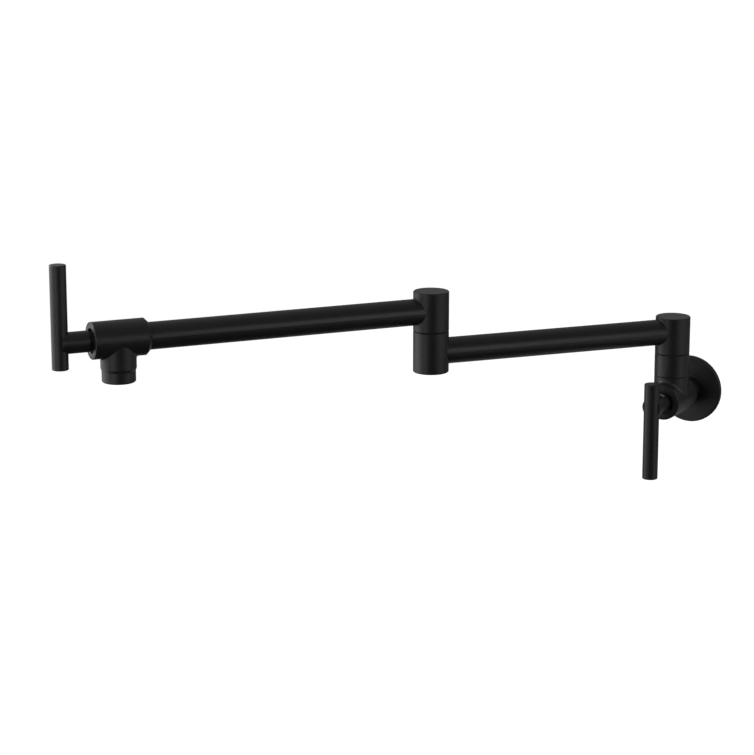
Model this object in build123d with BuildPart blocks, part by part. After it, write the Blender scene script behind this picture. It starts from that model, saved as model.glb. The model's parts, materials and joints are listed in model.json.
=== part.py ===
from build123d import *
from math import cos, radians, sin, sqrt
import os

os.makedirs("parts", exist_ok=True)

# A wall-mounted folding kitchen faucet: a valve on the wall, two swivelling arms and a second
# valve at the spout. Millimetres. The origin is the centre of the inlet on the wall plane,
# +Y runs into the wall, -Y out into the room and +Z is up.

# Wall flange, its gasket and the inlet neck
flange_d = 53.5
flange_t = 3.0
flange_round = 1.0
gasket_outer_d = 49.0
gasket_inner_d = 35.0
gasket_t = 1.2
neck_d = 19.6
inlet_bore_d = 15.0
inlet_depth = 15.0

# Valve barrels, which hold one cartridge each
spout_barrel_d = 27.0
barrel_step = 0.5
wall_barrel_out = 56.1
spout_barrel_out = 20.3
barrel_round = 0.6
barrel_back = 22.2
barrel_back_chamfer = 2.8
chamber_d = 20.8
chamber_depth = 29.5
seat_passage_d = 10.0

# Swivel column on the wall valve and the elbow between the two arms
column_out = 38.5
hub_d = 27.0
socket_land = 1.2
socket_bore_d = 20.0
socket_floor = 2.2
collar_top = 36.5
wall_hub_top = 65.6
elbow_bottom = 38.4
elbow_seam = 69.9
elbow_top = 100.2
hub_end_wall = 4.0
hub_chamfer = 0.5
seam_chamfer = 0.5
seam_gap = 0.15
saddle_round = 3.0

# Arms
tube_d = 20.0
tube_wall = 1.5
tube_bury = 0.45
arm_passage_d = 13.0
inner_tube_z = 53.6
outer_tube_z = 85.0
inner_arm_len = 204.1
outer_arm_len = 245.4
inner_arm_angle = 51.0
outer_arm_angle = 53.4

# Swivel posts, their seals and their retaining screws
post_d = 15.9
post_bore_d = 10.4
post_up = 7.0
post_down = 10.6
o_ring_section = 1.4
o_ring_groove_depth = 1.45
o_ring_groove_width = 1.9
o_ring_drops = (2.6, 5.2)
retainer_drop = 8.4
retainer_groove_width = 3.0
retainer_groove_depth = 1.5
retainer_point_d = 2.4
washer_outer_d = 23.0
washer_inner_d = 16.6
washer_t = 1.0
grub_screw_d = 4.0
grub_socket_af = 2.0
grub_socket_depth = 2.0
grub_recess = 0.2

# Collar that screws into the socket of the wall valve
collar_gasket_t = 1.0
collar_gasket_inner_d = 11.0

# Spout
spout_tube_depth = 9.2
outlet_drop = 23.0
outlet_round = 1.5
outlet_taper = 2.0
outlet_passage_d = 11.0
aerator_d = 24.6
aerator_bottom = 31.3
aerator_chamfer = 0.7
aerator_thread_d = 22.0
aerator_thread_len = 5.5
aerator_bore_d = 18.4
aerator_lip_d = 17.0
aerator_lip_t = 1.2
aerator_washer_t = 1.2
aerator_hole = 1.7
aerator_pitch = 2.4
aerator_plate_t = 2.0
aerator_cup_d = 14.6

# Cartridge, measured back from the flat front end of its barrel
bonnet_rim = 1.1
bonnet_bore_d = 18.0
bonnet_t = 2.4
bonnet_chamfer = 0.3
cartridge_collar_top = 2.6
cartridge_collar_len = 7.4
cartridge_sleeve_d = 17.4
cartridge_cavity_d = 14.8
cartridge_cavity_top = 13.0
cartridge_nose_d = 13.4
cartridge_nose_out = 1.1
window_width = 9.0
window_len = 6.2
disc_t = 3.0
disc_port_angle = 50.0
disc_port_r = 4.6
disc_port_width = 2.6
seal_t = 2.45
seal_outer_d = 16.6
stem_d = 8.0
stem_shoulder_d = 11.0
stem_shoulder_t = 2.6
stem_end = 11.5
stem_flat_depth = 0.8
stem_flat_len = 9.5
driver_width = 5.0
driver_len = 13.0
driver_key = 1.2
stem_o_ring_depth = 7.0
stem_o_ring_section = 1.0
stem_groove_width = 1.5

# Lever handles
bar_d = 12.0
bar_long = 56.6
bar_short = 18.9
bar_round = 0.6
wall_bar_out = 75.9
spout_bar_out = 43.0
handle_hub_d = 15.6
handle_lift = 1.5
handle_bore_end = 12.0
handle_hub_round = 0.5
handle_spigot_d = 6.0
handle_spigot_len = 4.0
handle_spigot_root = 1.0
handle_screw_in = 13.8
handle_screw_turn = 20.0

# Clearances: running fits on the radius, seated joints, and faces that slide on each other
run_gap = 0.05
seat_gap = 0.03
face_gap = 0.05

# Where a column or an outlet crosses a barrel, the barrel is a step wider on each side
wall_barrel_d = hub_d + 2 * barrel_step
outlet_d = spout_barrel_d - 2 * barrel_step

# The socket ends an upright land above the blend between column and barrel
socket_top = wall_barrel_d / 2 + saddle_round + socket_land + seam_chamfer

# The tube's end corners stay this far inside the skin of a hub
tube_seat = sqrt((hub_d / 2) ** 2 - (tube_d / 2) ** 2) - tube_bury

up = Vector(0, 0, 1)


def heading(angle):
    return Vector(-cos(radians(angle)), -sin(radians(angle)), 0)


def barrel_plane(origin, outward, long_end=up):
    return Plane(origin=origin, x_dir=long_end.cross(outward), z_dir=outward)


def axial_plane(base):
    return Plane(origin=base.origin, x_dir=base.x_dir, z_dir=-base.y_dir)


def tube_plane(column, height, distance):
    return Plane(
        origin=column.from_local_coords((distance, 0, height)),
        x_dir=column.y_dir,
        z_dir=column.x_dir,
    )


def turned(plane, angle):
    x_dir = plane.x_dir.rotate(Axis(plane.origin, plane.z_dir), angle)
    return Plane(origin=plane.origin, x_dir=x_dir, z_dir=plane.z_dir)


def saddle_edges(piece):
    return piece.edges().filter_by(GeomType.CIRCLE, reverse=True).filter_by(GeomType.LINE, reverse=True)


def keep(piece, label):
    piece.part.label = label
    export_step(piece.part, f"parts/{label}.step")


# Shared planes. A column plane looks along its arm with x, a barrel plane outwards with z.
outward = Vector(0, -1, 0)
inner_dir = heading(inner_arm_angle)
outer_dir = heading(outer_arm_angle)
wall_axis = barrel_plane((0, 0, 0), outward)
wall_front = wall_axis.offset(wall_barrel_out)
column_foot = outward * column_out
column_base = Plane(origin=column_foot, x_dir=(1, 0, 0), z_dir=up)
inner_column = Plane(origin=column_foot, x_dir=inner_dir, z_dir=up)
elbow_foot = column_foot + inner_dir * inner_arm_len
elbow_lower = Plane(origin=elbow_foot, x_dir=inner_dir * -1, z_dir=up)
elbow_upper = Plane(origin=elbow_foot, x_dir=outer_dir, z_dir=up)
outlet_foot = elbow_foot + outer_dir * outer_arm_len
outlet_centre = outlet_foot + up * outer_tube_z
spout_axis = barrel_plane(outlet_centre, outer_dir)
spout_front = spout_axis.offset(spout_barrel_out)
outlet_down = Plane(origin=outlet_centre, x_dir=outer_dir, z_dir=up * -1)

# Wall flange: a round escutcheon that slides on the valve's neck, with a recess for the gasket
with BuildPart() as wall_flange:
    with BuildSketch(wall_axis):
        Circle(flange_d / 2)
        Circle(neck_d / 2 + run_gap, mode=Mode.SUBTRACT)
    extrude(amount=flange_t)
    rim = wall_flange.faces().sort_by(Axis.Y)[0].outer_wire().edges()
    fillet(rim, radius=flange_round)
    with BuildSketch(wall_axis):
        Circle(gasket_outer_d / 2 + seat_gap)
        Circle(gasket_inner_d / 2 - seat_gap, mode=Mode.SUBTRACT)
    extrude(amount=gasket_t, mode=Mode.SUBTRACT)
keep(wall_flange, "wall_flange")

# Gasket: a flat rubber ring that seals the flange to the wall
with BuildPart() as flange_gasket:
    with BuildSketch(wall_axis):
        Circle(gasket_outer_d / 2)
        Circle(gasket_inner_d / 2, mode=Mode.SUBTRACT)
    extrude(amount=gasket_t)
keep(flange_gasket, "flange_gasket")

# Valve body: barrel with a coned back end, upright socket and inlet neck, with inlet, seat, chamber
# and outlet cut in
with BuildPart() as valve_body:
    with BuildSketch(wall_axis.offset(column_out - barrel_back)):
        Circle(wall_barrel_d / 2)
    extrude(amount=wall_barrel_out - column_out + barrel_back)
    front_face, *_, back_face = valve_body.faces().sort_by(Axis.Y)
    fillet(front_face.edges(), radius=barrel_round)
    chamfer(back_face.edges(), length=barrel_back_chamfer)
    with BuildSketch(column_base):
        Circle(hub_d / 2)
    extrude(amount=socket_top)
    fillet(saddle_edges(valve_body), radius=saddle_round)
    chamfer(valve_body.edges().sort_by(Axis.Z)[-1], length=seam_chamfer)
    with BuildSketch(wall_axis):
        Circle(neck_d / 2)
    extrude(amount=column_out)
    with BuildSketch(wall_axis):
        Circle(inlet_bore_d / 2)
    extrude(amount=inlet_depth, mode=Mode.SUBTRACT)
    with BuildSketch(wall_axis):
        Circle(seat_passage_d / 2)
    extrude(amount=wall_barrel_out, mode=Mode.SUBTRACT)
    with BuildSketch(wall_front):
        Circle(chamber_d / 2)
    extrude(amount=-chamber_depth, mode=Mode.SUBTRACT)
    with BuildSketch(wall_front):
        Circle(wall_barrel_d / 2 - bonnet_rim + seat_gap)
    extrude(amount=-bonnet_t, mode=Mode.SUBTRACT)
    with BuildSketch(column_base):
        Circle(post_bore_d / 2)
    extrude(amount=socket_top, mode=Mode.SUBTRACT)
    with BuildSketch(column_base.offset(chamber_d / 2 + socket_floor)):
        Circle(socket_bore_d / 2)
    extrude(amount=socket_top, mode=Mode.SUBTRACT)
keep(valve_body, "valve_body")

# Collar gasket: a flat washer under the end of the collar's threaded spigot
gasket_foot = chamber_d / 2 + socket_floor
with BuildPart() as collar_gasket:
    with BuildSketch(column_base.offset(gasket_foot)):
        Circle(socket_bore_d / 2 - run_gap)
        Circle(collar_gasket_inner_d / 2, mode=Mode.SUBTRACT)
    extrude(amount=collar_gasket_t)
keep(collar_gasket, "collar_gasket")

# Swivel collar: screws into the valve's socket and carries the rotating hub above it
with BuildPart() as swivel_collar:
    with BuildSketch(column_base.offset(socket_top)):
        Circle(hub_d / 2)
    extrude(amount=collar_top - socket_top)
    chamfer(swivel_collar.edges().filter_by(GeomType.CIRCLE), length=seam_chamfer)
    spigot_top = column_base.offset(socket_top)
    with BuildSketch(spigot_top):
        Circle(socket_bore_d / 2 - seat_gap)
    extrude(amount=-(socket_top - gasket_foot - collar_gasket_t - face_gap))
    with BuildSketch(column_base.offset(collar_top)):
        Circle(post_bore_d / 2)
    extrude(amount=-collar_top, mode=Mode.SUBTRACT)
    with BuildSketch(column_base.offset(collar_top)):
        Circle(post_d / 2 + run_gap)
    extrude(amount=-(post_down + face_gap), mode=Mode.SUBTRACT)
    with BuildSketch(column_base.offset(collar_top)):
        Circle(washer_outer_d / 2 + run_gap)
    extrude(amount=-(washer_t + face_gap - seam_gap), mode=Mode.SUBTRACT)
    with BuildSketch(tube_plane(column_base.rotated((0, 0, 90)), collar_top - retainer_drop, 0)):
        Circle(grub_screw_d / 2 + seat_gap)
    extrude(amount=hub_d, mode=Mode.SUBTRACT)
keep(swivel_collar, "swivel_collar")


# Swivel pieces, used at the wall column and at the elbow
def swivel_post(column, seam):
    grooves = [(retainer_drop, retainer_groove_width, retainer_groove_depth)]
    for drop in reversed(o_ring_drops):
        grooves.append((drop, o_ring_groove_width, o_ring_groove_depth))
    outline = [(post_bore_d / 2, seam - post_down), (post_d / 2, seam - post_down)]
    for drop, width, depth in grooves:
        low = seam - drop - width / 2
        high = seam - drop + width / 2
        floor = post_d / 2 - depth
        outline += [(post_d / 2, low), (floor, low), (floor, high), (post_d / 2, high)]
    outline += [(post_d / 2, seam + seam_gap + post_up), (post_bore_d / 2, seam + seam_gap + post_up)]
    with BuildPart() as post:
        with BuildSketch(axial_plane(column)):
            with BuildLine():
                Polyline(*outline, close=True)
            make_face()
        revolve(axis=Axis(column.origin, column.z_dir))
    return post


def post_o_rings(column, seam):
    centre_r = post_d / 2 - o_ring_groove_depth + o_ring_section / 2 + seat_gap
    with BuildPart() as rings:
        with BuildSketch(axial_plane(column)):
            for drop in o_ring_drops:
                with Locations((centre_r, seam - drop)):
                    Circle(o_ring_section / 2)
        revolve(axis=Axis(column.origin, column.z_dir))
    return rings


def thrust_washer(column, seam):
    with BuildPart() as washer:
        with BuildSketch(column.offset(seam + seam_gap - face_gap)):
            Circle(washer_outer_d / 2)
            Circle(washer_inner_d / 2, mode=Mode.SUBTRACT)
        extrude(amount=-washer_t)
    return washer


def grub_screw(aim, tip, end, point_d, point_len):
    with BuildPart() as screw:
        with BuildSketch(aim.offset(tip)):
            Circle(point_d / 2)
        extrude(amount=point_len)
        with BuildSketch(aim.offset(tip + point_len)):
            Circle(grub_screw_d / 2)
        extrude(amount=end - tip - point_len)
        with BuildSketch(aim.offset(end)):
            RegularPolygon(grub_socket_af / 2, 6, major_radius=False)
        extrude(amount=-grub_socket_depth, mode=Mode.SUBTRACT)
    return screw


def retaining_screw(column, seam):
    aim = tube_plane(column, seam - retainer_drop, 0)
    tip = post_d / 2 - retainer_groove_depth + run_gap
    point_len = retainer_groove_depth + run_gap
    return grub_screw(aim, tip, hub_d / 2 - grub_recess, retainer_point_d, point_len)


def upper_hub(column, bottom, top, tube_height):
    seat = tube_plane(column, tube_height, tube_seat)
    with BuildPart() as hub:
        with BuildSketch(column.offset(bottom)):
            Circle(hub_d / 2)
        extrude(amount=top - bottom)
        chamfer(hub.edges().group_by(Axis.Z)[-1], length=hub_chamfer)
        chamfer(hub.edges().group_by(Axis.Z)[0], length=seam_chamfer)
        with BuildSketch(column.offset(bottom)):
            Circle(post_d / 2 + seat_gap)
        extrude(amount=top - bottom - hub_end_wall, mode=Mode.SUBTRACT)
        with BuildSketch(seat):
            Circle(tube_d / 2 + seat_gap)
        extrude(amount=hub_d, mode=Mode.SUBTRACT)
        with BuildSketch(seat):
            Circle(arm_passage_d / 2)
        extrude(amount=-tube_seat, mode=Mode.SUBTRACT)
    return hub


def arm_tube(start, length):
    with BuildPart() as tube:
        with BuildSketch(start):
            Circle(tube_d / 2)
            Circle(tube_d / 2 - tube_wall, mode=Mode.SUBTRACT)
        extrude(amount=length)
    return tube


# Wall swivel
keep(thrust_washer(column_base, collar_top), "wall_thrust_washer")
keep(retaining_screw(column_base.rotated((0, 0, 90)), collar_top), "wall_retaining_screw")
keep(swivel_post(inner_column, collar_top), "wall_swivel_post")
keep(post_o_rings(inner_column, collar_top), "wall_post_o_rings")
keep(upper_hub(inner_column, collar_top + seam_gap, wall_hub_top, inner_tube_z), "wall_swivel_hub")

# Inner arm
inner_tube_start = tube_plane(inner_column, inner_tube_z, tube_seat + face_gap)
inner_tube_len = inner_arm_len - 2 * (tube_seat + face_gap)
keep(arm_tube(inner_tube_start, inner_tube_len), "inner_tube")

# Elbow, lower half: a blind hub that carries the post's seals and its retaining screw
lower_seat = tube_plane(elbow_lower, inner_tube_z, tube_seat)
lower_screw = elbow_lower.rotated((0, 0, 90))
with BuildPart() as elbow_lower_hub:
    with BuildSketch(elbow_lower.offset(elbow_bottom)):
        Circle(hub_d / 2)
    extrude(amount=elbow_seam - elbow_bottom)
    chamfer(elbow_lower_hub.edges().group_by(Axis.Z)[0], length=hub_chamfer)
    chamfer(elbow_lower_hub.edges().group_by(Axis.Z)[-1], length=seam_chamfer)
    with BuildSketch(elbow_lower.offset(elbow_seam)):
        Circle(post_d / 2 + run_gap)
    extrude(amount=-(elbow_seam - elbow_bottom - hub_end_wall), mode=Mode.SUBTRACT)
    with BuildSketch(elbow_lower.offset(elbow_seam)):
        Circle(washer_outer_d / 2 + run_gap)
    extrude(amount=-(washer_t + face_gap - seam_gap), mode=Mode.SUBTRACT)
    with BuildSketch(lower_seat):
        Circle(tube_d / 2 + seat_gap)
    extrude(amount=hub_d, mode=Mode.SUBTRACT)
    with BuildSketch(lower_seat):
        Circle(arm_passage_d / 2)
    extrude(amount=-tube_seat, mode=Mode.SUBTRACT)
    with BuildSketch(tube_plane(lower_screw, elbow_seam - retainer_drop, 0)):
        Circle(grub_screw_d / 2 + seat_gap)
    extrude(amount=hub_d, mode=Mode.SUBTRACT)
keep(elbow_lower_hub, "elbow_lower_hub")
keep(thrust_washer(elbow_lower, elbow_seam), "elbow_thrust_washer")
keep(retaining_screw(lower_screw, elbow_seam), "elbow_retaining_screw")

# Elbow, upper half
keep(swivel_post(elbow_upper, elbow_seam), "elbow_post")
keep(post_o_rings(elbow_upper, elbow_seam), "elbow_post_o_rings")
keep(upper_hub(elbow_upper, elbow_seam + seam_gap, elbow_top, outer_tube_z), "elbow_upper_hub")

# Outer arm
outer_tube_start = tube_plane(elbow_upper, outer_tube_z, tube_seat + face_gap)
spout_tube_stop = barrel_back - spout_tube_depth
outer_tube_len = outer_arm_len - spout_tube_stop - tube_seat - 2 * face_gap
keep(arm_tube(outer_tube_start, outer_tube_len), "outer_tube")

# Spout body: a barrel with a coned back end, a socket for the tube and a drop outlet
with BuildPart() as spout_body:
    with BuildSketch(spout_axis.offset(-barrel_back)):
        Circle(spout_barrel_d / 2)
    extrude(amount=barrel_back + spout_barrel_out)
    back_face, *_, front_face = spout_body.faces().sort_by(Axis(spout_axis.origin, spout_axis.z_dir))
    chamfer(back_face.edges(), length=barrel_back_chamfer)
    fillet(front_face.edges(), radius=barrel_round)
    with BuildSketch(outlet_down):
        Circle(outlet_d / 2)
    extrude(amount=outlet_drop - outlet_taper)
    with BuildSketch(outlet_down.offset(outlet_drop - outlet_taper)):
        Circle(outlet_d / 2)
    with BuildSketch(outlet_down.offset(outlet_drop)):
        Circle(aerator_d / 2)
    loft()
    fillet(saddle_edges(spout_body), radius=outlet_round)
    with BuildSketch(spout_axis.offset(-barrel_back)):
        Circle(tube_d / 2 + seat_gap)
    extrude(amount=spout_tube_depth, mode=Mode.SUBTRACT)
    with BuildSketch(spout_axis.offset(-spout_tube_stop)):
        Circle(seat_passage_d / 2)
    extrude(amount=spout_tube_stop, mode=Mode.SUBTRACT)
    with BuildSketch(spout_front):
        Circle(chamber_d / 2)
    extrude(amount=-chamber_depth, mode=Mode.SUBTRACT)
    with BuildSketch(spout_front):
        Circle(spout_barrel_d / 2 - bonnet_rim + seat_gap)
    extrude(amount=-bonnet_t, mode=Mode.SUBTRACT)
    with BuildSketch(outlet_down):
        Circle(outlet_passage_d / 2)
    extrude(amount=outlet_drop, mode=Mode.SUBTRACT)
    with BuildSketch(outlet_down.offset(outlet_drop)):
        Circle(aerator_thread_d / 2)
    extrude(amount=-(aerator_thread_len + aerator_washer_t), mode=Mode.SUBTRACT)
keep(spout_body, "spout_body")

# Aerator: a screwed housing with a lip, a washer above it and a cup with a grid of holes inside
aerator_top = outlet_drop - aerator_thread_len
with BuildPart() as aerator_housing:
    with BuildSketch(outlet_down.offset(outlet_drop + face_gap)):
        Circle(aerator_d / 2)
    extrude(amount=aerator_bottom - outlet_drop - face_gap)
    chamfer(aerator_housing.edges().group_by(Axis.Z)[0], length=aerator_chamfer)
    with BuildSketch(outlet_down.offset(outlet_drop + face_gap)):
        Circle(aerator_thread_d / 2 - seat_gap)
    extrude(amount=-(aerator_thread_len + face_gap))
    with BuildSketch(outlet_down.offset(aerator_top)):
        Circle(aerator_bore_d / 2)
    extrude(amount=aerator_bottom - aerator_top - aerator_lip_t, mode=Mode.SUBTRACT)
    with BuildSketch(outlet_down.offset(aerator_top)):
        Circle(aerator_lip_d / 2)
    extrude(amount=aerator_bottom - aerator_top, mode=Mode.SUBTRACT)
keep(aerator_housing, "aerator_housing")

with BuildPart() as aerator_washer:
    with BuildSketch(outlet_down.offset(aerator_top)):
        Circle(aerator_thread_d / 2 - run_gap)
        Circle(aerator_cup_d / 2, mode=Mode.SUBTRACT)
    extrude(amount=-aerator_washer_t)
keep(aerator_washer, "aerator_washer")

aerator_insert_foot = aerator_bottom - aerator_lip_t - face_gap
with BuildPart() as aerator_insert:
    with BuildSketch(outlet_down.offset(aerator_insert_foot)):
        Circle(aerator_bore_d / 2 - run_gap)
    extrude(amount=-(aerator_insert_foot - aerator_top - face_gap))
    with BuildSketch(outlet_down.offset(aerator_top)):
        Circle(aerator_cup_d / 2)
    extrude(amount=aerator_insert_foot - aerator_top - aerator_plate_t, mode=Mode.SUBTRACT)
    cells = int(aerator_cup_d / aerator_pitch)
    grid = GridLocations(aerator_pitch, aerator_pitch, cells, cells)
    reach = aerator_cup_d / 2 - aerator_hole
    spots = [spot.position for spot in grid.local_locations if spot.position.length < reach]
    with BuildSketch(outlet_down.offset(aerator_insert_foot)):
        with Locations(*spots):
            Rectangle(aerator_hole, aerator_hole)
    extrude(amount=-aerator_plate_t, mode=Mode.SUBTRACT)
keep(aerator_insert, "aerator_insert")


# Cartridge pieces, used in the wall valve and in the spout. Depths run back from the barrel's front.
disc_foot = chamber_depth - seal_t
disc_r = cartridge_cavity_d / 2 - run_gap
moving_foot = disc_foot - disc_t - face_gap
driver_foot = moving_foot - disc_t


def bonnet_ring(front, barrel_d):
    with BuildPart() as ring:
        with BuildSketch(front.offset(-bonnet_t)):
            Circle(barrel_d / 2 - bonnet_rim)
            Circle(bonnet_bore_d / 2, mode=Mode.SUBTRACT)
        extrude(amount=bonnet_t)
        top_face = ring.faces().sort_by(Axis(front.origin, front.z_dir))[-1]
        chamfer(top_face.edges(), length=bonnet_chamfer)
    return ring


def cartridge_housing(front):
    window_mid = (cartridge_cavity_top + driver_foot) / 2
    outline = [
        (cartridge_cavity_d / 2, -disc_foot),
        (cartridge_sleeve_d / 2, -disc_foot),
        (cartridge_sleeve_d / 2, -cartridge_collar_top - cartridge_collar_len),
        (chamber_d / 2 - seat_gap, -cartridge_collar_top - cartridge_collar_len),
        (chamber_d / 2 - seat_gap, -cartridge_collar_top),
        (cartridge_nose_d / 2, -cartridge_collar_top),
        (cartridge_nose_d / 2, cartridge_nose_out),
        (stem_d / 2 + run_gap, cartridge_nose_out),
        (stem_d / 2 + run_gap, -cartridge_cavity_top),
        (cartridge_cavity_d / 2, -cartridge_cavity_top),
    ]
    side = Plane(origin=front.offset(-window_mid).origin, x_dir=front.x_dir, z_dir=front.y_dir)
    with BuildPart() as housing:
        with BuildSketch(axial_plane(front)):
            with BuildLine():
                Polyline(*outline, close=True)
            make_face()
        revolve(axis=Axis(front.origin, front.z_dir))
        with BuildSketch(side):
            Rectangle(window_width, window_len)
        extrude(amount=cartridge_sleeve_d, both=True, mode=Mode.SUBTRACT)
    return housing


def seat_seal(front):
    with BuildPart() as seal:
        with BuildSketch(front.offset(-chamber_depth)):
            Circle(seal_outer_d / 2)
            Circle(seat_passage_d / 2, mode=Mode.SUBTRACT)
        extrude(amount=seal_t)
    return seal


def disc_ports(turn):
    starts = (turn - disc_port_angle / 2, turn + 180 - disc_port_angle / 2)
    return [CenterArc((0, 0), disc_port_r, start, disc_port_angle) for start in starts]


def fixed_disc(front):
    ports = disc_ports(0)
    with BuildPart() as disc:
        with BuildSketch(front.offset(-disc_foot)):
            Circle(disc_r)
            for port in ports:
                SlotArc(port, disc_port_width, mode=Mode.SUBTRACT)
        extrude(amount=disc_t)
    return disc


def moving_disc(front):
    ports = disc_ports(90)
    with BuildPart() as disc:
        with BuildSketch(front.offset(-moving_foot)):
            Circle(disc_r)
            for port in ports:
                SlotArc(port, disc_port_width, mode=Mode.SUBTRACT)
        extrude(amount=disc_t)
        with BuildSketch(front.offset(-driver_foot)):
            Rectangle(driver_len + 2 * run_gap, driver_width + 2 * run_gap)
        extrude(amount=-driver_key - face_gap, mode=Mode.SUBTRACT)
    return disc


def valve_stem(front):
    shoulder_foot = cartridge_cavity_top + face_gap + stem_shoulder_t
    groove_floor = stem_d / 2 - stem_o_ring_section
    with BuildPart() as stem:
        with BuildSketch(front.offset(-driver_foot - driver_key)):
            Rectangle(driver_len, driver_width)
        extrude(amount=driver_foot + driver_key - shoulder_foot)
        with BuildSketch(front.offset(-shoulder_foot)):
            Circle(stem_shoulder_d / 2)
        extrude(amount=stem_shoulder_t)
        with BuildSketch(front.offset(-shoulder_foot)):
            Circle(stem_d / 2)
        extrude(amount=shoulder_foot + stem_end)
        with BuildSketch(front.offset(-stem_o_ring_depth - stem_groove_width / 2)):
            Circle(stem_d / 2)
            Circle(groove_floor, mode=Mode.SUBTRACT)
        extrude(amount=stem_groove_width, mode=Mode.SUBTRACT)
        with BuildSketch(turned(front.offset(stem_end), -handle_screw_turn)):
            with Locations((0, stem_d - stem_flat_depth), (0, stem_flat_depth - stem_d)):
                Rectangle(stem_d, stem_d)
        extrude(amount=-stem_flat_len, mode=Mode.SUBTRACT)
    return stem


def stem_o_ring(front):
    centre_r = stem_d / 2 - stem_o_ring_section / 2
    with BuildPart() as ring:
        with BuildSketch(axial_plane(front)):
            with Locations((centre_r, -stem_o_ring_depth)):
                Circle(stem_o_ring_section / 2 - seat_gap)
        revolve(axis=Axis(front.origin, front.z_dir))
    return ring


# Handle pieces. The handle plane sits where hub and bar cross, with y towards the bar's long end.
# The set screw comes in opposite that end, turned a little round the hub, and bears on the stem's flat.
def screw_plane(crossing):
    base = turned(crossing.offset(-handle_screw_in), -handle_screw_turn)
    return Plane(base.origin, base.x_dir, base.y_dir * -1)


def handle_bar(crossing):
    with BuildPart() as bar:
        with BuildSketch(Plane(crossing.origin, crossing.x_dir, crossing.y_dir).offset(-bar_short)):
            Circle(bar_d / 2)
        extrude(amount=bar_short + bar_long)
        fillet(bar.edges().filter_by(GeomType.CIRCLE), radius=bar_round)
        with BuildSketch(crossing.offset(-bar_d)):
            Circle(handle_spigot_d / 2 + seat_gap)
        extrude(amount=bar_d / 2 + handle_spigot_len + face_gap, mode=Mode.SUBTRACT)
    return bar


def handle_hub(front, crossing):
    along_bar = Plane(crossing.origin, crossing.x_dir, crossing.y_dir)
    foot = front.offset(handle_lift)
    with BuildPart() as hub:
        with BuildSketch(foot):
            Circle(handle_hub_d / 2)
        extrude(amount=(crossing.origin - foot.origin).length)
        inner_rim = hub.faces().sort_by(Axis(crossing.origin, crossing.z_dir))[0].edges()
        chamfer(inner_rim, length=handle_hub_round)
        with BuildSketch(along_bar):
            Circle(bar_d / 2 + seat_gap)
        extrude(amount=handle_hub_d, both=True, mode=Mode.SUBTRACT)
        with BuildSketch(foot):
            Circle(stem_d / 2 + seat_gap)
        extrude(amount=handle_bore_end - handle_lift, mode=Mode.SUBTRACT)
        with BuildSketch(crossing.offset(-bar_d / 2 - handle_spigot_root)):
            Circle(handle_spigot_d / 2)
        extrude(amount=handle_spigot_len + handle_spigot_root)
        with BuildSketch(screw_plane(crossing)):
            Circle(grub_screw_d / 2 + seat_gap)
        extrude(amount=handle_hub_d, mode=Mode.SUBTRACT)
    return hub


def handle_screw(crossing):
    tip = stem_d / 2 - stem_flat_depth + seat_gap
    end = handle_hub_d / 2 - grub_recess
    return grub_screw(screw_plane(crossing), tip, end, retainer_point_d, run_gap)


def valve_set(name, front, crossing, barrel_d):
    keep(bonnet_ring(front, barrel_d), f"{name}_bonnet_ring")
    keep(cartridge_housing(front), f"{name}_cartridge_housing")
    keep(seat_seal(front), f"{name}_seat_seal")
    keep(fixed_disc(front), f"{name}_fixed_disc")
    keep(moving_disc(front), f"{name}_moving_disc")
    keep(valve_stem(front), f"{name}_valve_stem")
    keep(stem_o_ring(front), f"{name}_stem_o_ring")
    keep(handle_hub(front, crossing), f"{name}_handle_hub")
    keep(handle_bar(crossing), f"{name}_handle_bar")
    keep(handle_screw(crossing), f"{name}_set_screw")


# The wall lever hangs down, the spout lever stands up
wall_crossing = barrel_plane(outward * wall_bar_out, outward, up * -1)
spout_crossing = barrel_plane(outlet_centre + outer_dir * spout_bar_out, outer_dir)
valve_set("wall", wall_front, wall_crossing, wall_barrel_d)
valve_set("spout", spout_front, spout_crossing, spout_barrel_d)
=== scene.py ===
import json
import math

import bmesh
import bpy
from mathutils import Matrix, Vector


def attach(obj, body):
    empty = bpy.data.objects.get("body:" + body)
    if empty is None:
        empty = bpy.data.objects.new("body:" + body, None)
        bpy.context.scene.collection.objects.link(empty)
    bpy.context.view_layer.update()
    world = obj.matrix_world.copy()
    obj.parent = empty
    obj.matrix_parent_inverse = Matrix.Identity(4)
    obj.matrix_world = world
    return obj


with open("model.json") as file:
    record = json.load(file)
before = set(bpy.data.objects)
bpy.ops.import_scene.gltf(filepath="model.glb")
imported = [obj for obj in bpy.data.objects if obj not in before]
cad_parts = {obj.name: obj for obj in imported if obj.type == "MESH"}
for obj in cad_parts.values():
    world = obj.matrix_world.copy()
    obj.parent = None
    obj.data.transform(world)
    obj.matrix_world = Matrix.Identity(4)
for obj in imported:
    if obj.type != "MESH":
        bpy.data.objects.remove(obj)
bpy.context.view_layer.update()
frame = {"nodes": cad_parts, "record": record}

scene = bpy.context.scene
nodes = frame["nodes"]


# Helpers for objects and materials

def addObject(name, data):
    item = bpy.data.objects.new(name, data)
    scene.collection.objects.link(item)
    return item


def addMeshObject(name, bm, material):
    mesh = bpy.data.meshes.new(name)
    bm.to_mesh(mesh)
    bm.free()
    mesh.materials.append(material)
    return addObject(name, mesh)


def newMaterial(name):
    material = bpy.data.materials.new(name)
    material.use_nodes = True
    return material, material.node_tree, material.node_tree.nodes["Principled BSDF"]


# Helpers for nodes

def addNode(tree, kind, place, **settings):
    node = tree.nodes.new(kind)
    node.location = place
    for name, value in settings.items():
        setattr(node, name, value)
    return node


def addMath(tree, operation, place, first, second):
    node = addNode(tree, "ShaderNodeMath", place, operation=operation)
    for socket, value in zip(node.inputs, (first, second)):
        if isinstance(value, bpy.types.NodeSocket):
            tree.links.new(value, socket)
        else:
            socket.default_value = value
    return node.outputs["Value"]


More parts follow.
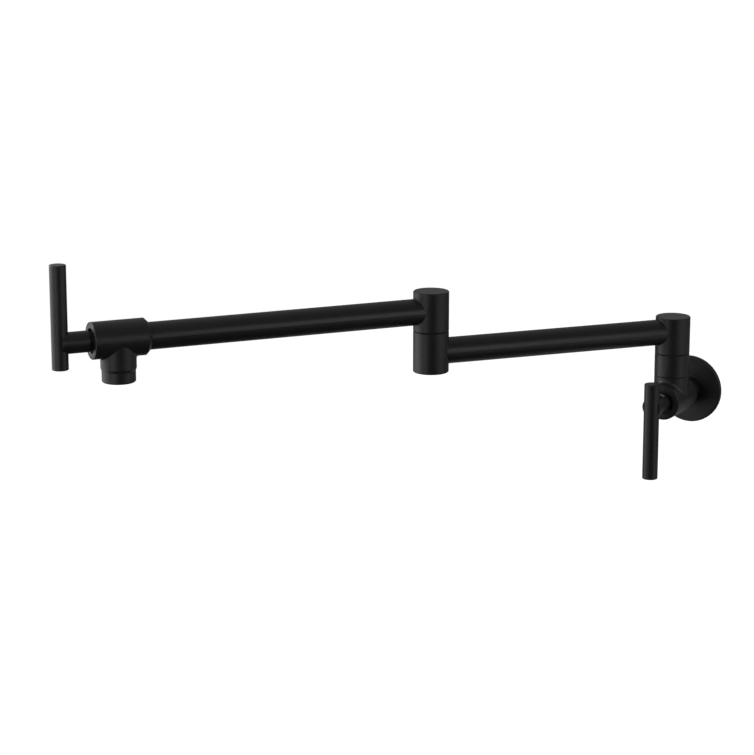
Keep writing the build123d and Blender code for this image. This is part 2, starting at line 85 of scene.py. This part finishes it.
def addRange(tree, place, value, limits, results, blend="LINEAR"):
    node = addNode(tree, "ShaderNodeMapRange", place, interpolation_type=blend)
    node.inputs["From Min"].default_value, node.inputs["From Max"].default_value = limits
    node.inputs["To Min"].default_value, node.inputs["To Max"].default_value = results
    tree.links.new(value, node.inputs["Value"])
    return node.outputs["Result"]


# 1 for camera rays, a share for glossy and transmitted rays, 0 for the rest
def addSeen(tree, place, share):
    across, up = place
    rays = addNode(tree, "ShaderNodeLightPath", place).outputs
    shiny = addMath(
        tree, "MAXIMUM", (across + 200, up - 150),
        rays["Is Glossy Ray"], rays["Is Transmission Ray"])
    reflected = addMath(tree, "MULTIPLY", (across + 400, up - 150), shiny, share)
    return addMath(tree, "MAXIMUM", (across + 600, up), rays["Is Camera Ray"], reflected)


def newGroup(name, inputs, outputs):
    group = bpy.data.node_groups.new(name, "ShaderNodeTree")
    for way, labels in (("INPUT", inputs), ("OUTPUT", outputs)):
        for label in labels:
            group.interface.new_socket(name=label, in_out=way, socket_type="NodeSocketFloat")
    start = addNode(group, "NodeGroupInput", (-900, 0))
    end = addNode(group, "NodeGroupOutput", (400, 0))
    return group, start, end


# Grain for every finish: a fine grain and a broad, slow mottling
grainLook = {"detail": {"Fine": 3.0, "Broad": 5.0}, "roughness": 0.6, "contrast": (0.25, 0.75)}


def buildGrainGroup(look):
    group, start, end = newGroup("surfaceGrain", ("Fine Scale", "Broad Scale"), ("Fine", "Broad"))
    coords = addNode(group, "ShaderNodeTexCoord", (-900, -250))
    for row, (label, detail) in enumerate(look["detail"].items()):
        height = 100 - 300 * row
        noise = addNode(group, "ShaderNodeTexNoise", (-300, height))
        noise.inputs["Detail"].default_value = detail
        noise.inputs["Roughness"].default_value = look["roughness"]
        group.links.new(coords.outputs["Object"], noise.inputs["Vector"])
        group.links.new(start.outputs[label + " Scale"], noise.inputs["Scale"])
        spread = addRange(group, (0, height), noise.outputs["Fac"], look["contrast"], (0, 1))
        group.links.new(spread, end.inputs[label])
    return group


# Lathe marks for bare metal: noise drawn out across the upright axis
latheLook = {"stretch": (0.04, 0.04, 1.0), "detail": 2.0}


def buildLatheGroup(look):
    group, start, end = newGroup("latheMarks", ("Spacing",), ("Marks",))
    coords = addNode(group, "ShaderNodeTexCoord", (-900, -250))
    stretch = addNode(group, "ShaderNodeMapping", (-650, -250))
    stretch.inputs["Scale"].default_value = look["stretch"]
    noise = addNode(group, "ShaderNodeTexNoise", (-300, 0))
    noise.inputs["Detail"].default_value = look["detail"]
    group.links.new(coords.outputs["Object"], stretch.inputs["Vector"])
    group.links.new(stretch.outputs["Vector"], noise.inputs["Vector"])
    group.links.new(start.outputs["Spacing"], noise.inputs["Scale"])
    group.links.new(noise.outputs["Fac"], end.inputs["Marks"])
    return group


grainGroup = buildGrainGroup(grainLook)
latheGroup = buildLatheGroup(latheLook)


# One finish for each material slot of the record, plain where it says nothing else
plainFinish = {"metal": 0.0, "ior": 1.5}
finishes = {
    "matte_black": ("matteBlackCoat", {
        "dark": (0.015, 0.015, 0.0155), "light": (0.019, 0.019, 0.0195), "rough": (0.36, 0.44),
        "fineScale": 2400.0, "broadScale": 70.0, "bump": 0.12, "bumpHeight": 0.00006}),
    "brass": ("machinedBrass", {
        "dark": (0.62, 0.43, 0.17), "light": (0.74, 0.55, 0.26), "rough": (0.20, 0.34),
        "metal": 1.0, "latheSpacing": 2600.0,
        "fineScale": 1500.0, "broadScale": 120.0, "bump": 0.2, "bumpHeight": 0.00004}),
    "ceramic": ("polishedCeramic", {
        "dark": (0.78, 0.76, 0.71), "light": (0.86, 0.85, 0.82), "rough": (0.10, 0.18), "ior": 1.76,
        "fineScale": 5200.0, "broadScale": 260.0, "bump": 0.05, "bumpHeight": 0.00002}),
    "rubber": ("sealingRubber", {
        "dark": (0.012, 0.012, 0.012), "light": (0.024, 0.023, 0.022), "rough": (0.62, 0.82),
        "ior": 1.52,
        "fineScale": 3000.0, "broadScale": 190.0, "bump": 0.25, "bumpHeight": 0.00006}),
    "ptfe": ("bearingPlastic", {
        "dark": (0.78, 0.78, 0.75), "light": (0.88, 0.88, 0.86), "rough": (0.42, 0.55), "ior": 1.38,
        "fineScale": 2600.0, "broadScale": 150.0, "bump": 0.12, "bumpHeight": 0.00004}),
    "fibre": ("redFibre", {
        "dark": (0.22, 0.05, 0.03), "light": (0.42, 0.15, 0.10), "rough": (0.68, 0.88),
        "fineScale": 1800.0, "broadScale": 420.0, "bump": 0.35, "bumpHeight": 0.0001}),
    "stainless": ("turnedSteel", {
        "dark": (0.86, 0.86, 0.85), "light": (0.94, 0.94, 0.93), "rough": (0.56, 0.70),
        "metal": 1.0, "latheSpacing": 4200.0,
        "fineScale": 2600.0, "broadScale": 300.0, "bump": 0.2, "bumpHeight": 0.00003}),
    "aerator_plastic": ("mouldedGreyPlastic", {
        "dark": (0.24, 0.25, 0.26), "light": (0.31, 0.32, 0.33), "rough": (0.38, 0.52), "ior": 1.49,
        "fineScale": 3400.0, "broadScale": 210.0, "bump": 0.15, "bumpHeight": 0.00005}),
    "cartridge_nylon": ("glassFilledNylon", {
        "dark": (0.006, 0.006, 0.0065), "light": (0.016, 0.016, 0.017), "rough": (0.45, 0.62),
        "ior": 1.53,
        "fineScale": 4200.0, "broadScale": 520.0, "bump": 0.3, "bumpHeight": 0.00006}),
}


def makeFinish(name, look):
    material, tree, shader = newMaterial(name)
    shader.inputs["Metallic"].default_value = look["metal"]
    shader.inputs["IOR"].default_value = look["ior"]
    grain = addNode(tree, "ShaderNodeGroup", (-1000, 0), node_tree=grainGroup)
    grain.inputs["Fine Scale"].default_value = look["fineScale"]
    grain.inputs["Broad Scale"].default_value = look["broadScale"]
    fine, broad = grain.outputs["Fine"], grain.outputs["Broad"]
    relief = fine
    if "latheSpacing" in look:
        lathe = addNode(tree, "ShaderNodeGroup", (-1000, -300), node_tree=latheGroup)
        lathe.inputs["Spacing"].default_value = look["latheSpacing"]
        relief = addMath(tree, "ADD", (-750, -350), fine, lathe.outputs["Marks"])
    tone = addNode(tree, "ShaderNodeMix", (-500, 250), data_type="RGBA")
    tone.inputs["A"].default_value = (*look["dark"], 1)
    tone.inputs["B"].default_value = (*look["light"], 1)
    tree.links.new(broad, tone.inputs["Factor"])
    tree.links.new(tone.outputs["Result"], shader.inputs["Base Color"])
    speckled = addMath(tree, "MULTIPLY", (-750, -50), broad, fine)
    rough = addRange(tree, (-500, -50), speckled, (0, 1), look["rough"])
    tree.links.new(rough, shader.inputs["Roughness"])
    bump = addNode(tree, "ShaderNodeBump", (-500, -350))
    bump.inputs["Strength"].default_value = look["bump"]
    bump.inputs["Distance"].default_value = look["bumpHeight"]
    tree.links.new(relief, bump.inputs["Height"])
    tree.links.new(bump.outputs["Normal"], shader.inputs["Normal"])
    return material


slotMaterials = {
    slot: makeFinish(name, {**plainFinish, **look}) for slot, (name, look) in finishes.items()}
for subpart in frame["record"]["subparts"]:
    mesh = nodes[subpart["node"]].data
    mesh.materials.clear()
    mesh.materials.append(slotMaterials[subpart["material_slot"]])
print("finishes:", ", ".join(material.name for material in slotMaterials.values()))


# Inlet thread: a pipe thread of three eighths of an inch in the bore at the valve body's back
inletThread = {
    "rootRadius": 0.00754, "crestRadius": 0.00704, "pitch": 0.001337, "crestShare": 0.16,
    "start": -0.0006, "turns": 9, "stepsPerTurn": 48,
}


def buildInletThread(sizes):
    root, crest = sizes["rootRadius"], sizes["crestRadius"]
    start, pitch = sizes["start"], sizes["pitch"]
    turns, stepsPerTurn = sizes["turns"], sizes["stepsPerTurn"]
    flank = pitch * (1 - sizes["crestShare"]) / 2
    ridge = (
        (root, start), (crest, start - flank),
        (crest, start - pitch + flank), (root, start - pitch))
    bm = bmesh.new()
    face = bm.faces.new([bm.verts.new((radius, depth, 0)) for radius, depth in ridge])
    bmesh.ops.spin(
        bm, geom=[face, *face.edges, *face.verts], cent=(0, 0, 0), axis=(0, -1, 0),
        dvec=(0, -pitch / stepsPerTurn, 0), angle=math.tau * turns, steps=turns * stepsPerTurn)
    bmesh.ops.recalc_face_normals(bm, faces=bm.faces)
    thread = addMeshObject("inletThread", bm, slotMaterials["brass"])
    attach(thread, "wall_base")


buildInletThread(inletThread)
print("inlet thread cut")


# Studio panels: left, in front and right, with a weak one overhead
middle = (-0.14, -0.21, 0.05)  # the middle of the faucet
softbox = (0.6, 0.62)
panels = {
    "leftPanel": {
        "at": (-0.80, -0.56, 0.05), "aim": (-0.20, -0.24, 0.05), "size": (0.8, 0.9), "glow": 1.18},
    "highPanel": {"at": (-0.861, -0.592, 0.430), "aim": middle, "size": (0.8, 0.6), "glow": 2.78},
    "nearPanel": {
        "at": (-0.29, -1.04, 0.05), "aim": (-0.2, -0.3, 0.05), "size": (0.46, 0.8), "glow": 0.7},
    "frontPanel": {"at": (0.086, -1.506, 0.529), "aim": middle, "size": softbox, "glow": 1.5},
    "rearPanel": {
        "at": (-0.66, -0.20, 0.08), "aim": (-0.27, -0.39, 0.07), "size": (0.34, 0.5), "glow": 0.3},
    "rightPanel": {"at": (1.192, -0.595, 0.245), "aim": middle, "size": softbox, "glow": 1.46},
    "sidePanel": {"at": (1.085, 0.439, 0.245), "aim": middle, "size": softbox, "glow": 1.26},
    "lowPanel": {"at": (1.184, -0.073, -0.383), "aim": middle, "size": softbox, "glow": 0.59},
    "topPanel": {"at": (-0.14, -0.21, 1.25), "aim": middle, "size": (1.4, 1.4), "glow": 0.05},
}


def addPanel(name, panel):
    width, height = panel["size"]
    light = bpy.data.lights.new(name, "AREA")
    light.shape = "RECTANGLE"
    light.size, light.size_y = width, height
    light.energy = panel["glow"] * math.pi * width * height  # so that glow is the face's radiance
    lamp = addObject(name, light)
    lamp.visible_camera = False
    lamp.location = panel["at"]
    backwards = Vector(panel["at"]) - Vector(panel["aim"])
    lamp.rotation_euler = backwards.to_track_quat("Z", "Y").to_euler()


for name, panel in panels.items():
    addPanel(name, panel)


# The room is dark in front, lighter behind and above the faucet, and white to the camera.
# Glossy and transmitted rays see a share of the white sweep behind as well.
room = {
    "facing": -60.1,  # degrees, towards the camera
    "behindGlow": 0.188, "behindSpan": (-0.3, 0.9), "behindRise": (-0.05, 0.3), "lowShare": 0.28,
    "skyGlow": 0.116, "skySpan": (0.1, 0.7),
    "sweepSpan": (0.88, 0.98), "sweepShare": 0.105,
}


def buildWorld(look):
    world = bpy.data.worlds.new("studioRoom")
    scene.world = world
    world.use_nodes = True
    tree = world.node_tree
    background = tree.nodes["Background"]
    background.inputs["Color"].default_value = (1, 1, 1, 1)

    coords = addNode(tree, "ShaderNodeTexCoord", (-1300, 0))
    angle = math.radians(look["facing"])
    away = addNode(tree, "ShaderNodeVectorMath", (-1100, 100), operation="DOT_PRODUCT")
    away.inputs[1].default_value = (-math.cos(angle), -math.sin(angle), 0)
    tree.links.new(coords.outputs["Generated"], away.inputs[0])
    split = addNode(tree, "ShaderNodeSeparateXYZ", (-1100, -200))
    tree.links.new(coords.outputs["Generated"], split.inputs["Vector"])
    depth, rise = away.outputs["Value"], split.outputs["Z"]

    fade = "SMOOTHSTEP"
    behind = addRange(tree, (-800, 200), depth, look["behindSpan"], (0, look["behindGlow"]), fade)
    upper = addRange(tree, (-800, 50), rise, look["behindRise"], (look["lowShare"], 1), fade)
    behind = addMath(tree, "MULTIPLY", (-650, 150), behind, upper)
    sky = addRange(tree, (-800, -100), rise, look["skySpan"], (0, look["skyGlow"]), fade)
    glow = addMath(tree, "ADD", (-500, 100), behind, sky)
    sweep = addRange(tree, (-800, -400), depth, look["sweepSpan"], (0, look["sweepShare"]), fade)

    mix = addNode(tree, "ShaderNodeMix", (0, 100), data_type="FLOAT")
    mix.inputs["B"].default_value = 1.0  # white
    tree.links.new(addSeen(tree, (-800, 500), sweep), mix.inputs["Factor"])
    tree.links.new(glow, mix.inputs["A"])
    tree.links.new(mix.outputs["Result"], background.inputs["Strength"])


buildWorld(room)


# Pale floor behind the faucet, well below it
floor = {
    "height": -0.45, "near": 0.06, "far": 2.2, "halfWidth": 1.6,
    "shade": 0.5, "roughness": 0.9, "lift": 0.97,
}


def buildFloor(sizes):
    halfDepth = (sizes["far"] - sizes["near"]) / 2
    place = (0, sizes["near"] + halfDepth, sizes["height"])
    bm = bmesh.new()
    bmesh.ops.create_grid(bm, x_segments=1, y_segments=1, size=1.0)
    bmesh.ops.scale(bm, vec=(sizes["halfWidth"], halfDepth, 1), verts=bm.verts)
    bmesh.ops.translate(bm, vec=place, verts=bm.verts)

    material, tree, shader = newMaterial("paleFloor")
    shader.inputs["Base Color"].default_value = (*[sizes["shade"]] * 3, 1)
    shader.inputs["Roughness"].default_value = sizes["roughness"]
    shader.inputs["Emission Color"].default_value = (1, 1, 1, 1)
    seen = addSeen(tree, (-900, -200), room["sweepShare"])
    lift = addMath(tree, "MULTIPLY", (-150, -200), seen, sizes["lift"])
    tree.links.new(lift, shader.inputs["Emission Strength"])
    addMeshObject("studioFloor", bm, material)


buildFloor(floor)
print("studio lit with", len(panels), "panels")


# Camera at the photo's viewing angle
view = {
    "place": (0.75963, -1.82745, 0.46720), "pitch": 76.8513, "yaw": 29.830,
    "lens": 120.505, "sensor": 36,
}
cameraData = bpy.data.cameras.new("photoCamera")
cameraData.lens = view["lens"]
cameraData.sensor_width = view["sensor"]
camera = addObject("photoCamera", cameraData)
camera.location = view["place"]
camera.rotation_euler = (math.radians(view["pitch"]), 0, math.radians(view["yaw"]))
scene.camera = camera
scene.view_settings.view_transform = "Standard"
print("camera placed")
